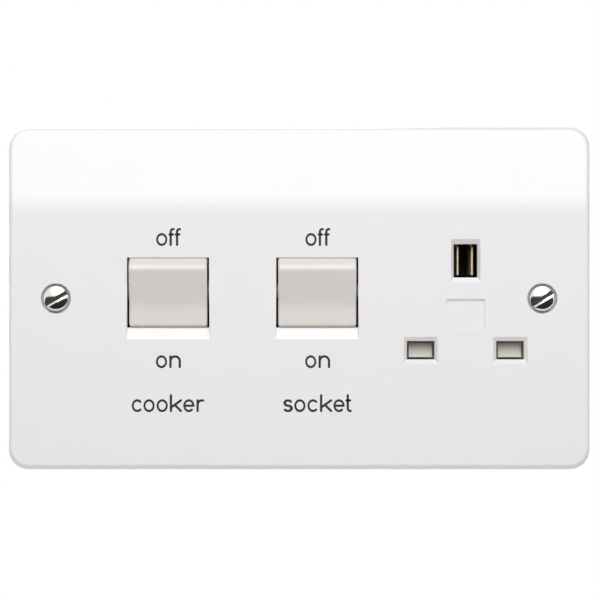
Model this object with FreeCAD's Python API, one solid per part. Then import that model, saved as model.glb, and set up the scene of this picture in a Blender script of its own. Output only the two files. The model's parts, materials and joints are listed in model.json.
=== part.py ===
# Cooker control unit: a twin flush plate with two double-pole rockers and one three-pin socket.
# X runs right, Z up and Y back into the wall. The rim of the plate meets the wall at y = 0.
# Both rockers are drawn switched on, with the top edge standing out. Lengths are in millimetres.

import FreeCAD, Part
import math
import os

V = FreeCAD.Vector

# Allowances used throughout
ROOT = 0.5
OVERCUT = 1.0
RUN_FIT = 0.05

# Front plate, one moulded shell with a sloping top
PLATE_W = 146.0
PLATE_H = 86.0
PLATE_DEPTH = 10.0
PLATE_WALL = 2.8
RIM_WALL = 2.5
RIM_DRAFT = 1.1
RIM_SPACE = 0.2
CORNER_R = 5.0
EDGE_R = 1.1
TOP_BEND_Z = 21.6
TOP_BEND_R = 18.0
TOP_SLOPE = 12.0

# Fixing screws that hold the unit to the wall box
FIXING_CENTRES = 120.6
FIXING_R = 1.75
FIXING_NECK_R = 1.5
FIXING_HEAD_R = 3.1
FIXING_HEAD_RISE = 0.7
FIXING_LAND = 1.4
FIXING_REACH = 18.0
FIXING_SLOT_W = 1.0
FIXING_SLOT_DEPTH = 1.2
FIXING_SLOT_TURNS = (30.0, 33.0)
FIXING_HOLE_R = 1.95
FIXING_SEAT_FIT = 0.1
FIXING_POCKET_R = 3.75
FIXING_POCKET_PAST = 0.6
FIXING_PILLAR_W = 8.0

# Rockers, each a hollow sector that turns on two moulded trunnions
COOKER_X = -32.5
OUTLET_X = 4.5
ROCKER_W = 19.35
ROCKER_R = 9.7
ROCKER_SIDE_GAP = 0.5
ROCKER_END_GAP = 0.2
ROCKER_WALL = 1.6
ROCKER_FACE = 2.0
ROCKER_PROUD = 2.4
ROCKER_SUNK = 0.8
VALLEY_Z = -1.8
VALLEY_R = 8.0
TOP_EDGE_R = 2.0
LOW_EDGE_R = 0.5
SIDE_EDGE = 0.35
TOP_ARC_END = 80.0
LOW_ARC_END = -97.0
ROCKER_TRAVEL = 20.0
PIVOT_DEPTH = 5.5
PIVOT_Z = 1.9
TRUNNION_R = 1.7
TRUNNION_L = 2.6
SILL_DEPTH = 1.7
SILL_DROP = 2.9
SILL_FLARE = 0.15

# Bearing cheeks behind the plate, closed by nibs on the housing
CHEEK_GAP = 0.3
CHEEK_T = 2.4
CHEEK_H = 10.0
CHEEK_BEHIND = 3.1
CHEEK_CLEAR = 0.2

# Sprung plungers in the tail of each rocker
POLE_OFFSET = 5.2
BARREL_WALL = 1.0
BARREL_FRONT = 4.4
BARREL_REAR = 6.0
BORE_FRONT = 3.4
PLUNGER_R = 2.0
PLUNGER_START = 2.5
PLUNGER_CENTRE = 9.0
SPRING_WIRE = 0.45
SPRING_R = 1.55
SPRING_TURNS = 4
RUNS_PER_TURN = 6
SPRING_SLACK = 0.05

# Rocking contacts, worked by the plungers
CONTACT_RATIO = 0.6
CONTACT_W = 6.0
CONTACT_T = 1.6
CONTACT_UP = 16.0
CONTACT_DOWN = 9.0
CONTACT_PIN_R = 1.3
CONTACT_PIN_OUT = 1.6
TIP_ARM = 13.5
TIP_W = 4.0
FIXED_TIP_H = 4.4
TIP_T = 1.0
CROWN_R = 6.0
FIXED_TIP_RISE = 1.2
TOUCH_GAP = 0.06
EAR_GAP = 0.4
EAR_T = 1.2
EAR_H = 5.2

# Current-carrying strips, laid flat on the shelf of the housing
STRIP_T = 1.5
STRIP_W = 6.4
HEAD_OVER = 0.6
RAIL_SHARES = (0.5, 0.2, 0.3)
RAIL_TOP_SPACE = 1.5
RUN_SPACE = 0.7
RAIL_BELOW_TIP = 3.0
NEUTRAL_RUN_Z = -16.0
RUN_H = 4.0

# Socket for a 13 A plug
SOCKET_X = 41.3
PIN_PITCH = 22.2
LINE_PINS_Z = -12.87
LINE_SLOT = (6.9, 4.6)
LINE_LEAD_IN = (0.8, 1.05)
EARTH_SLOT = (5.9, 8.3)
EARTH_LEAD_IN = (0.7, 1.3)
LEAD_IN_DEPTH = 1.1
EARTH_PIN_H = 8.0
LINE_PIN_H = 4.0
CLIP_T = 0.75
CLIP_PINCH = 0.5
CLIP_FLARE = 0.9
LINE_CLIP_W = 6.5
LINE_CLIP_LEAD = 0.3
LINE_CLIP_ROOM = 0.2
EARTH_CLIP_T = 0.5
EARTH_CLIP_GAP = 3.12
EARTH_CLIP_OVER = 0.8
EARTH_CLIP_LEAD = 5.0
EARTH_NOSE_DROP = 0.65
EARTH_NOSE_R = 0.2
BADGE = (9.5, 7.6)
BADGE_Z = -4.0
BADGE_DEPTH = 0.5

# Sliding shutter behind the two line slots, pushed up by a spring
SHUTTER_T = 3.7
SHUTTER_COVER = 0.7
SHUTTER_FIT = 0.3
SHUTTER_TRAVEL = 5.6
SHUTTER_FLOOR = 0.9
RAMP_RISE = 1.6
RAMP_SPACE = 0.55
SHUTTER_TAB_UP = 5.0
SHUTTER_ROOF = 1.8
SHUTTER_WINDOW = 5.2
SHUTTER_SPRING_R = 1.55
SHUTTER_SPRING_TURNS = 6
LEDGE_T = 1.5
GUIDE_T = 1.2

# Brass pillar terminals in shrouds at the back
TERMINAL_W = 9.0
TERMINAL_D = 10.5
TERMINAL_L = 14.0
CABLE_BORE_R = 2.8
CABLE_BORE_IN = 4.6
TANG_SHARE = 0.8
TANG_FIT = 0.05
TANG_EDGE = 0.6
TERMINAL_INSET = 1.5
CLAMP_R = 2.5
CLAMP_L = 6.0
CLAMP_SLOT = 0.9
CLAMP_SLOT_DEPTH = 1.2
CLAMP_BACKED_OUT = 0.2
SUPPLY_NEUTRAL_X = -24.0
SUPPLY_LIVE_X = -8.0
SUPPLY_EARTH_X = 22.0
COOKER_EARTH_X = 34.0
EARTH_TANG_IN = 6.5
LOAD_TANG_IN = 9.0

# Rear housing, an open tray with a shelf and terminal shrouds
HOUSING_LEFT = -51.0
HOUSING_PAST_SOCKET = 17.2
HOUSING_H = 61.0
HOUSING_WALL = 1.8
HOUSING_CORNER_R = 3.0
SHELF_T = 2.0
SHROUD_WALL = 1.2
SHROUD_GAP = 0.25
LUG_SPACE = 6.8
LUG_NOTCH_H = 14.0
RIB_T = 1.2
KEEPER_SPACE = 1.6
SCREW_IN = 3.7
SCREW_Z = 20.0
SOCKET_SCREWS = ((10.2, 22.0), (-20.8, -8.0))
SCREW_R = 1.5
SCREW_GRIP = 4.8
SCREW_HEAD_R = 2.9
SCREW_HEAD_H = 2.0
SCREW_SLOT = 0.8
BOSS_W = 6.0
TUBE_W = 7.0

# Planes and centres that follow from the sizes above
FRONT_Y = -PLATE_DEPTH
INNER_Y = FRONT_Y + PLATE_WALL
PIVOT_Y = FRONT_Y + PIVOT_DEPTH
HOUSING_Y = PIVOT_Y + CHEEK_BEHIND + CHEEK_CLEAR
FIXING_CONE_Y = FRONT_Y + FIXING_LAND
TAIL_TILT = ROCKER_TRAVEL / 2
CONTACT_TILT = TAIL_TILT * CONTACT_RATIO
CONTACT_Y = PIVOT_Y + PLUNGER_CENTRE + PLUNGER_R + CONTACT_T + TOUCH_GAP
TILT_SIN = math.sin(math.radians(CONTACT_TILT))
TILT_COS = math.cos(math.radians(CONTACT_TILT))
TIP_Z = PIVOT_Z + TIP_ARM * TILT_COS - TIP_T * TILT_SIN
TIP_Y = CONTACT_Y + TIP_ARM * TILT_SIN + TIP_T * TILT_COS
CROWN_Y = TIP_Y + (CROWN_R + TOUCH_GAP) / TILT_COS
STRIP_Y = CROWN_Y - CROWN_R + FIXED_TIP_RISE
SHELF_Y = STRIP_Y + STRIP_T
BLOCK_Y = SHELF_Y + SHELF_T
REAR_Y = BLOCK_Y + TERMINAL_D
CABLE_Y = BLOCK_Y + CABLE_BORE_IN
INSIDE_Z = HOUSING_H / 2 - HOUSING_WALL
RAIL_LOW_Z = TIP_Z - RAIL_BELOW_TIP
RAIL_ROOM = INSIDE_Z - RAIL_TOP_SPACE - RAIL_LOW_Z
RAIL_LOW_H, RAIL_SPACE, RAIL_HIGH_H = (share * RAIL_ROOM for share in RAIL_SHARES)
RAIL_HIGH_Z = RAIL_LOW_Z + RAIL_LOW_H + RAIL_SPACE
LIVE_RUN_Z = RUN_H + RUN_SPACE - INSIDE_Z
TANG_W = TANG_SHARE * RAIL_HIGH_H
TERMINAL_END_Z = HOUSING_H / 2 - TERMINAL_INSET
EARTH_BAR_Z = TERMINAL_END_Z - EARTH_TANG_IN
LOAD_TANG_Z = LOAD_TANG_IN - TERMINAL_END_Z
HOUSING_RIGHT = SOCKET_X + HOUSING_PAST_SOCKET
LUG_NOTCH_X = FIXING_CENTRES / 2 - LUG_SPACE
EARTH_Z = LINE_PINS_Z + PIN_PITCH
NEUTRAL_PIN_X = SOCKET_X - PIN_PITCH / 2
LIVE_PIN_X = SOCKET_X + PIN_PITCH / 2
COOKER_NEUTRAL_X = COOKER_X - POLE_OFFSET
COOKER_LIVE_X = COOKER_X + POLE_OFFSET
OUTLET_LIVE_X = OUTLET_X - POLE_OFFSET
OUTLET_NEUTRAL_X = OUTLET_X + POLE_OFFSET
HEAD_W = CONTACT_W + 2 * (EAR_GAP + EAR_T)
CHEEK_X = ROCKER_W / 2 + ROCKER_SIDE_GAP + CHEEK_GAP + CHEEK_T / 2
SHUTTER_Y = INNER_Y + SHUTTER_FIT
SHUTTER_BACK = SHUTTER_Y + SHUTTER_T
SHUTTER_H = LINE_SLOT[1] + 2 * SHUTTER_COVER
SHUTTER_W = PIN_PITCH + LINE_SLOT[0] + 2 * SHUTTER_COVER
SHUTTER_LOW = LINE_PINS_Z - SHUTTER_H / 2
SHUTTER_HIGH = LINE_PINS_Z + SHUTTER_H / 2
LEDGE_Z = SHUTTER_LOW - SHUTTER_TRAVEL

SCREW_PLACES = [(HOUSING_LEFT + SCREW_IN, SCREW_Z), (HOUSING_LEFT + SCREW_IN, -SCREW_Z)]
SCREW_PLACES += [(SOCKET_X + across, up) for across, up in SOCKET_SCREWS]
TERMINALS = {
    "supply_neutral_terminal": (SUPPLY_NEUTRAL_X, 1, RAIL_HIGH_Z + RAIL_HIGH_H / 2),
    "supply_live_terminal": (SUPPLY_LIVE_X, 1, RAIL_LOW_Z + RAIL_LOW_H - TANG_W / 2 - TANG_EDGE),
    "supply_earth_terminal": (SUPPLY_EARTH_X, 1, EARTH_BAR_Z),
    "cooker_earth_terminal": (COOKER_EARTH_X, 1, EARTH_BAR_Z),
    "cooker_neutral_terminal": (COOKER_NEUTRAL_X, -1, LOAD_TANG_Z),
    "cooker_live_terminal": (COOKER_LIVE_X, -1, LOAD_TANG_Z),
}
POLES = {
    "cooker_neutral": COOKER_NEUTRAL_X,
    "cooker_live": COOKER_LIVE_X,
    "outlet_live": OUTLET_LIVE_X,
    "outlet_neutral": OUTLET_NEUTRAL_X,
}


def around(centre, width):
    """The low and high end of a span about its centre."""
    return centre - width / 2, centre + width / 2


def block(x, y, z):
    """A box from three spans."""
    return Part.makeBox(x[1] - x[0], y[1] - y[0], z[1] - z[0], V(x[0], y[0], z[0]))


def rod(radius, x, z, y):
    """A cylinder along Y over the span y."""
    return Part.makeCylinder(radius, y[1] - y[0], V(x, y[0], z), V(0, 1, 0))


def axle(radius, x, y, z):
    """A cylinder along X over the span x."""
    return Part.makeCylinder(radius, x[1] - x[0], V(x[0], y, z), V(1, 0, 0))


def rounded_wire(x, z, width, height, radius, y):
    """A rectangle with round corners in the plane at y."""
    a = width / 2
    b = height / 2
    edges = []
    for sx, sz in ((1, 1), (-1, 1), (-1, -1), (1, -1)):
        corner = V(x + sx * (a - radius), y, z + sz * (b - radius))
        side = V(sx * radius, 0, 0)
        end = V(0, 0, sz * radius)
        if sx * sz < 0:
            side, end = end, side
        middle = (side + end) * math.sqrt(0.5)
        edges.append(Part.Arc(corner + side, corner + middle, corner + end).toShape())
    ring = []
    for here, after in zip(edges, edges[1:] + edges[:1]):
        ring.append(here)
        ring.append(Part.LineSegment(here.Vertexes[-1].Point, after.Vertexes[0].Point).toShape())
    return Part.Wire(ring)


def tapered(y, front_x, front_z, back_x, back_z):
    """A block over the span y whose outline changes from its front spans to its back spans."""
    low = (front_x[0], y[0], front_z[0], back_z[0], back_x[0])
    high = (front_x[1], y[1], front_z[1], back_z[1], back_x[1])
    return Part.makeWedge(*low, *high)


def prism(points, x):
    """An outline of (y, z) points carried along X over the span x."""
    corners = [V(x[0], y, z) for y, z in points]
    return Part.Face(Part.makePolygon(corners + corners[:1])).extrude(V(x[1] - x[0], 0, 0))


def sheet(points, y):
    """A flat strip cut to an outline of (x, z) points."""
    corners = [V(x, y[0], z) for x, z in points]
    return Part.Face(Part.makePolygon(corners + corners[:1])).extrude(V(0, y[1] - y[0], 0))


def fused(shapes):
    """One solid from pieces that meet."""
    solids = [solid for shape in shapes for solid in shape.Solids]
    return solids[0].multiFuse(solids[1:]).removeSplitter()


def spring(coil_r, wire, turns, start, direction, length):
    """A compression spring from start along direction, its wire laid in short straight runs."""
    rise = (length - wire) / (turns * RUNS_PER_TURN)
    corners = []
    for step in range(turns * RUNS_PER_TURN + 1):
        turn = 2 * math.pi * step / RUNS_PER_TURN
        corners.append(V(coil_r * math.cos(turn), coil_r * math.sin(turn), wire / 2 + step * rise))
    path = Part.makePolygon(corners)
    half = wire / 2
    inner = coil_r - half
    outer = coil_r + half
    square = [V(inner, 0, 0), V(outer, 0, 0), V(outer, 0, wire), V(inner, 0, wire)]
    coil = path.makePipeShell([Part.makePolygon(square + square[:1])], True, True, 1)
    turn = FreeCAD.Rotation(V(0, 0, 1), direction)
    coil.Placement = FreeCAD.Placement(start, turn)
    return coil


def front_skin(inset):
    """Everything behind the front of the plate, moved in by inset: flat, then a bend, then a slope."""
    slope = math.radians(TOP_SLOPE)
    y = FRONT_Y + inset
    radius = TOP_BEND_R - inset
    half = math.radians(TOP_SLOPE / 2)
    x = -PLATE_W
    start = V(x, y, TOP_BEND_Z)
    middle = V(x, y + radius * (1 - math.cos(half)), TOP_BEND_Z + radius * math.sin(half))
    end = V(x, y + radius * (1 - math.cos(slope)), TOP_BEND_Z + radius * math.sin(slope))
    top = V(x, end.y + (PLATE_H - end.z) * math.tan(slope), PLATE_H)
    back_top = V(x, top.y + PLATE_DEPTH, PLATE_H)
    back_low = V(x, back_top.y, -PLATE_H)
    low = V(x, y, -PLATE_H)
    corners = [end, top, back_top, back_low, low, start]
    edges = [Part.Arc(start, middle, end).toShape()]
    for here, after in zip(corners, corners[1:]):
        edges.append(Part.LineSegment(here, after).toShape())
    return Part.Face(Part.Wire(edges)).extrude(V(2 * PLATE_W, 0, 0))


def drafted_block(inset, radius, back):
    """The plate's rim as a block that narrows to the front, moved in by inset."""
    outlines = []
    for y in (2 * FRONT_Y, back):
        shrink = 2 * (inset + RIM_DRAFT * y / FRONT_Y)
        outlines.append(around(0, PLATE_W - shrink))
        outlines.append(around(0, PLATE_H - shrink))
    rim = tapered((2 * FRONT_Y, back), *outlines)
    corners = [edge for edge in rim.Edges if edge.BoundBox.YLength > PLATE_DEPTH]
    return rim.makeFillet(radius, corners)


def plate_shell():
    """The outer form with its front edge rounded, hollowed from the back."""
    outer = drafted_block(0, CORNER_R, 0).common(front_skin(0))
    rim = []
    for edge in outer.Edges:
        faces = outer.ancestorsOfType(edge, Part.Face)
        leaning = [abs(f.normalAt(*middle_of(f)).y) < 0.5 for f in faces]
        behind = edge.BoundBox.YMin > -PLATE_WALL / 2
        if any(leaning) and not all(leaning) and not behind:
            rim.append(edge)
    outer = outer.makeFillet(EDGE_R, rim)
    inner = drafted_block(RIM_WALL, CORNER_R - RIM_WALL / 2, PLATE_DEPTH).common(front_skin(PLATE_WALL))
    return outer.cut(inner)


def middle_of(face):
    """The middle of a face in its own two parameters."""
    u0, u1, v0, v1 = face.ParameterRange
    return (u0 + u1) / 2, (v0 + v1) / 2


def pin_slot(x, z, size, lead_in):
    """The cut for one plug pin: a straight slot with a lead-in sloped towards the front."""
    slot_x = around(x, size[0])
    slot_z = around(z, size[1])
    straight = block(slot_x, (FRONT_Y, FRONT_Y + 2 * PLATE_WALL), slot_z)
    wide_x = around(x, size[0] + 4 * lead_in[0])
    wide_z = around(z, size[1] + 4 * lead_in[1])
    depth = (FRONT_Y - LEAD_IN_DEPTH, FRONT_Y + LEAD_IN_DEPTH)
    return straight.fuse(tapered(depth, wide_x, wide_z, slot_x, slot_z))


def rocker_point(radius, angle):
    """A point about the rocker's pivot, with the angle measured up from straight out of the wall."""
    turn = math.radians(angle)
    return V(0, PIVOT_Y - radius * math.cos(turn), PIVOT_Z + radius * math.sin(turn))


def rocker_opening(x):
    """The cut for one rocker: a round-ended throat about the pivot and a sill that slopes in below it."""
    half = ROCKER_W / 2 + ROCKER_SIDE_GAP
    throat_r = ROCKER_R + ROCKER_END_GAP
    throat = axle(throat_r, (x - half, x + half), PIVOT_Y, PIVOT_Z)
    sill_z = PIVOT_Z - math.sqrt(throat_r**2 - (PIVOT_DEPTH - SILL_DEPTH) ** 2)
    wires = []
    for depth in (SILL_DEPTH, -SILL_DEPTH):
        out = (SILL_DEPTH - depth) / SILL_DEPTH
        y = FRONT_Y + depth
        low_half = half + out * SILL_FLARE
        low = sill_z - out * SILL_DROP
        corners = [V(x - half, y, PIVOT_Z), V(x + half, y, PIVOT_Z), V(x + low_half, y, low)]
        corners.append(V(x - low_half, y, low))
        wires.append(Part.makePolygon(corners + corners[:1]))
    return throat.fuse(Part.makeLoft(wires, True, True))


def bearing_cheek(x):
    """A rib beside a rocker with a round-bottomed slot that takes a trunnion from behind."""
    span = around(x, CHEEK_T)
    rib = block(span, (INNER_Y - ROOT, PIVOT_Y + CHEEK_BEHIND), around(PIVOT_Z, CHEEK_H))
    seat_r = TRUNNION_R + RUN_FIT
    seat = axle(seat_r, span, PIVOT_Y, PIVOT_Z)
    way_in = block(span, (PIVOT_Y, PIVOT_Y + PLATE_DEPTH), around(PIVOT_Z, 2 * seat_r))
    return rib.cut(seat.fuse(way_in))


def front_plate():
    """The plate with its openings, bearing cheeks, pillars, bosses and shutter guides."""
    plate = plate_shell()
    added = []
    cuts = []
    for x in (COOKER_X, OUTLET_X):
        added.append(bearing_cheek(x - CHEEK_X))
        added.append(bearing_cheek(x + CHEEK_X))
        cuts.append(rocker_opening(x))
    for x in (NEUTRAL_PIN_X, LIVE_PIN_X):
        cuts.append(pin_slot(x, LINE_PINS_Z, LINE_SLOT, LINE_LEAD_IN))
    cuts.append(pin_slot(SOCKET_X, EARTH_Z, EARTH_SLOT, EARTH_LEAD_IN))
    badge_y = (FRONT_Y - OVERCUT, FRONT_Y + BADGE_DEPTH)
    cuts.append(block(around(SOCKET_X, BADGE[0]), badge_y, around(BADGE_Z, BADGE[1])))
    for side in (-1, 1):
        x = side * FIXING_CENTRES / 2
        pillar = around(x, FIXING_PILLAR_W)
        added.append(block(pillar, (INNER_Y - ROOT, -RIM_SPACE), around(0, FIXING_PILLAR_W)))
        cuts.append(rod(FIXING_HOLE_R, x, 0, (FRONT_Y - OVERCUT, OVERCUT)))
        seat_r = FIXING_HEAD_R + FIXING_SEAT_FIT
        cuts.append(Part.makeCone(seat_r, 0, seat_r, V(x, FIXING_CONE_Y, 0), V(0, 1, 0)))
        pocket_y = (FRONT_Y - OVERCUT, FIXING_CONE_Y + FIXING_POCKET_PAST)
        cuts.append(rod(FIXING_POCKET_R, x, 0, pocket_y))
    for x, z in SCREW_PLACES:
        added.append(block(around(x, BOSS_W), (INNER_Y - ROOT, HOUSING_Y), around(z, BOSS_W)))
        hole_y = (HOUSING_Y - SCREW_GRIP - ROOT, HOUSING_Y + OVERCUT)
        cuts.append(rod(SCREW_R + RUN_FIT, x, z, hole_y))
    guide_x = SHUTTER_W / 2 + SHUTTER_FIT + GUIDE_T / 2
    guide_z = (LEDGE_Z, SHUTTER_HIGH)
    for side in (-1, 1):
        span = around(SOCKET_X + side * guide_x, GUIDE_T)
        added.append(block(span, (INNER_Y - ROOT, SHUTTER_BACK), guide_z))
    ledge_x = around(SOCKET_X, SHUTTER_WINDOW - 2 * SHUTTER_FIT)
    added.append(block(ledge_x, (INNER_Y - ROOT, SHUTTER_BACK), (LEDGE_Z - LEDGE_T, LEDGE_Z)))
    return plate.multiFuse(added).cut(Part.makeCompound(cuts)).removeSplitter()


def fixing_screws():
    """Two raised screws with slotted heads, a straight land and a cone that seats in the plate."""
    screws = []
    for side, turn in zip((-1, 1), FIXING_SLOT_TURNS):
        x = side * FIXING_CENTRES / 2
        land = rod(FIXING_HEAD_R, x, 0, (FRONT_Y, FIXING_CONE_Y))
        cone_h = FIXING_HEAD_R - FIXING_NECK_R
        cone = Part.makeCone(FIXING_HEAD_R, FIXING_NECK_R, cone_h, V(x, FIXING_CONE_Y, 0), V(0, 1, 0))
        neck = rod(FIXING_NECK_R, x, 0, (FIXING_CONE_Y + cone_h, ROOT))
        shank = rod(FIXING_R, x, 0, (0, FIXING_REACH))
        ball_r = (FIXING_HEAD_R**2 + FIXING_HEAD_RISE**2) / (2 * FIXING_HEAD_RISE)
        ball = Part.makeSphere(ball_r, V(x, FRONT_Y - FIXING_HEAD_RISE + ball_r, 0))
        dome = ball.common(rod(FIXING_HEAD_R, x, 0, (FRONT_Y - FIXING_HEAD_RISE, FRONT_Y)))
        crown = FRONT_Y - FIXING_HEAD_RISE
        slot_y = (crown - OVERCUT, crown + FIXING_SLOT_DEPTH)
        slot = block(around(x, 3 * FIXING_HEAD_R), slot_y, around(0, FIXING_SLOT_W))
        slot.rotate(V(x, 0, 0), V(0, 1, 0), -turn)
        screws.append(fused([land, dome, cone, neck, shank]).cut(slot))
    return Part.makeCompound(screws)


def tail_point(x, along):
    """A point on the line of a plunger, measured back from the rocker's pivot."""
    tilt = math.radians(TAIL_TILT)
    return V(x, PIVOT_Y + along * math.cos(tilt), PIVOT_Z + along * math.sin(tilt))


def tail_bar(width, x, start, end):
    """A square bar on the line of a plunger."""
    y = (PIVOT_Y + start, PIVOT_Y + end)
    bar = block(around(x, width), y, around(PIVOT_Z, width))
    bar.rotate(V(x, PIVOT_Y, PIVOT_Z), V(1, 0, 0), TAIL_TILT)
    return bar


def rocker_sector(x):
    """The closed outer form of a rocker: two face flats meeting in a valley, and round ends."""
    top_angle = math.degrees(math.acos((PIVOT_DEPTH + ROCKER_PROUD) / ROCKER_R))
    low_angle = -math.degrees(math.acos((PIVOT_DEPTH - ROCKER_SUNK) / ROCKER_R))
    top = rocker_point(ROCKER_R, top_angle)
    top_end = rocker_point(ROCKER_R, TOP_ARC_END)
    low = rocker_point(ROCKER_R, low_angle)
    low_end = rocker_point(ROCKER_R, LOW_ARC_END)
    valley = V(0, FRONT_Y + ROCKER_SUNK, VALLEY_Z)
    rear = rocker_point(-2 * TRUNNION_R, 0)
    low_middle = rocker_point(ROCKER_R, (low_angle + LOW_ARC_END) / 2)
    top_middle = rocker_point(ROCKER_R, (top_angle + TOP_ARC_END) / 2)
    edges = [
        Part.LineSegment(top, valley).toShape(),
        Part.LineSegment(valley, low).toShape(),
        Part.Arc(low, low_middle, low_end).toShape(),
        Part.LineSegment(low_end, rear).toShape(),
        Part.LineSegment(rear, top_end).toShape(),
        Part.Arc(top_end, top_middle, top).toShape(),
    ]
    face = Part.Face(Part.Wire(edges))
    face.translate(V(x - ROCKER_W / 2, 0, 0))
    solid = face.extrude(V(ROCKER_W, 0, 0))
    for place, radius in ((valley, VALLEY_R), (top, TOP_EDGE_R), (low, LOW_EDGE_R)):
        solid = solid.makeFillet(radius, [nearest_edge(solid, V(x, place.y, place.z))])
    sides = []
    for edge in solid.Edges:
        box = edge.BoundBox
        on_face = box.YMax < PIVOT_Y - PIVOT_DEPTH + ROCKER_SUNK + LOW_EDGE_R
        if box.XLength < 0.001 and on_face and edge.Length > LOW_EDGE_R:
            sides.append(edge)
    return solid.makeChamfer(SIDE_EDGE, sides)


def nearest_edge(solid, point):
    """The edge that passes closest to a point."""
    spot = Part.Vertex(point)
    return min(solid.Edges, key=lambda edge: edge.distToShape(spot)[0])


def rocker(x):
    """A rocker, hollowed from behind, with its trunnions and two spring barrels."""
    inside = ROCKER_W - 2 * ROCKER_WALL
    hollow = axle(ROCKER_R - ROCKER_WALL, around(x, inside), PIVOT_Y, PIVOT_Z)
    rise = ROCKER_PROUD + ROCKER_SUNK
    top_z = rocker_point(ROCKER_R, 0).z + math.sqrt(ROCKER_R**2 - (PIVOT_DEPTH + ROCKER_PROUD) ** 2)
    slope = rise / (top_z - VALLEY_Z)
    back_y = FRONT_Y + ROCKER_SUNK + ROCKER_FACE
    high_z = PIVOT_Z + ROCKER_R
    face_back = [(back_y - slope * (high_z - VALLEY_Z), high_z), (back_y, VALLEY_Z)]
    face_back.append((back_y, PIVOT_Z - ROCKER_R))
    face_back.append((PIVOT_Y + ROCKER_R, PIVOT_Z - ROCKER_R))
    face_back.append((PIVOT_Y + ROCKER_R, high_z))
    shell = rocker_sector(x).cut(hollow.common(prism(face_back, around(x, inside))))
    added = []
    cuts = []
    for side in (-1, 1):
        inner = x + side * (ROCKER_W - ROCKER_WALL) / 2
        outer = x + side * (ROCKER_W / 2 + TRUNNION_L)
        added.append(axle(TRUNNION_R, sorted((inner, outer)), PIVOT_Y, PIVOT_Z))
        pole = x + side * POLE_OFFSET
        bore_w = 2 * (PLUNGER_R + RUN_FIT)
        added.append(tail_bar(bore_w + 2 * BARREL_WALL, pole, -BARREL_FRONT, BARREL_REAR))
        cuts.append(tail_bar(bore_w, pole, -BORE_FRONT, BARREL_REAR + OVERCUT))
    return shell.multiFuse(added).cut(Part.makeCompound(cuts)).removeSplitter()


def plunger(x):
    """A square nylon plunger with a round nose, which runs in a barrel."""
    centre = tail_point(x, PLUNGER_CENTRE)
    nose = axle(PLUNGER_R, around(x, 2 * PLUNGER_R), centre.y, centre.z)
    return fused([tail_bar(2 * PLUNGER_R, x, PLUNGER_START, PLUNGER_CENTRE), nose])


def plunger_spring(x):
    """The spring between the blind end of a barrel and its plunger."""
    direction = tail_point(x, 1) - tail_point(x, 0)
    start = tail_point(x, SPRING_SLACK - BORE_FRONT)
    length = BORE_FRONT + PLUNGER_START - 2 * SPRING_SLACK
    return spring(SPRING_R, SPRING_WIRE, SPRING_TURNS, start, direction, length)


def tilted_contact(shape, x):
    """Turns a piece of a rocking contact to its closed position, upper end back."""
    shape.rotate(V(x, CONTACT_Y, PIVOT_Z), V(1, 0, 0), -CONTACT_TILT)
    return shape


def rocking_contact(x):
    """A brass bar that see-saws on its own pin."""
    left, right = around(x, CONTACT_W)
    low = PIVOT_Z - CONTACT_DOWN
    high = PIVOT_Z + CONTACT_UP
    outline = [(left, low), (right, low), (right, high), (left, high)]
    bar = sheet(outline, (CONTACT_Y - CONTACT_T, CONTACT_Y))
    pin = axle(CONTACT_PIN_R, around(x, CONTACT_W + 2 * CONTACT_PIN_OUT), CONTACT_Y, PIVOT_Z)
    return tilted_contact(fused([bar, pin]), x)


def moving_tips(poles):
    """The silver pads on the backs of two rocking contacts."""
    tips = []
    for x in poles:
        height = around(PIVOT_Z + TIP_ARM, TIP_W)
        tip = block(around(x, TIP_W), (CONTACT_Y, CONTACT_Y + TIP_T), height)
        tips.append(tilted_contact(tip, x))
    return Part.makeCompound(tips)


def fixed_tips():
    """Four silver bars with a crowned top on the supply rails."""
    tips = []
    for x in POLES.values():
        bar = block(around(x, TIP_W), (CROWN_Y - CROWN_R, STRIP_Y), around(TIP_Z, FIXED_TIP_H))
        tips.append(bar.common(axle(CROWN_R, around(x, TIP_W), CROWN_Y, TIP_Z)))
    return Part.makeCompound(tips)


def strip_span():
    """The thickness of every flat strip."""
    return STRIP_Y, STRIP_Y + STRIP_T


def with_tang_holes(strip, names):
    """A strip pierced for the tangs of its terminals."""
    width = TANG_W + 2 * TANG_FIT
    for name in names:
        x, _, z = TERMINALS[name]
        strip = strip.cut(block(around(x, width), (STRIP_Y - OVERCUT, SHELF_Y + OVERCUT), around(z, width)))
    return strip


def live_rail():
    """The supply live strip, straight between the two live poles."""
    left = COOKER_LIVE_X - STRIP_W / 2
    right = OUTLET_LIVE_X + STRIP_W / 2
    high = RAIL_LOW_Z + RAIL_LOW_H
    outline = [(left, RAIL_LOW_Z), (right, RAIL_LOW_Z), (right, high), (left, high)]
    return with_tang_holes(sheet(outline, strip_span()), ["supply_live_terminal"])


def neutral_rail():
    """The supply neutral strip, a bridge over the live strip with a leg at each neutral pole."""
    half = STRIP_W / 2
    left = COOKER_NEUTRAL_X
    right = OUTLET_NEUTRAL_X
    high = RAIL_HIGH_Z + RAIL_HIGH_H
    outline = [
        (left - half, RAIL_LOW_Z), (left + half, RAIL_LOW_Z), (left + half, RAIL_HIGH_Z),
        (right - half, RAIL_HIGH_Z), (right - half, RAIL_LOW_Z), (right + half, RAIL_LOW_Z),
        (right + half, high), (left - half, high),
    ]
    return with_tang_holes(sheet(outline, strip_span()), ["supply_neutral_terminal"])


def fulcrum_ears(x):
    """Two ears with half-round notches that carry the pin of a rocking contact."""
    ears = []
    for side in (-1, 1):
        middle = x + side * (CONTACT_W / 2 + EAR_GAP + EAR_T / 2)
        ear = block(around(middle, EAR_T), (CONTACT_Y, STRIP_Y + STRIP_T / 2), around(PIVOT_Z, EAR_H))
        ears.append(ear.cut(axle(CONTACT_PIN_R + RUN_FIT, around(x, 2 * HEAD_W), CONTACT_Y, PIVOT_Z)))
    return ears


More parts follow.
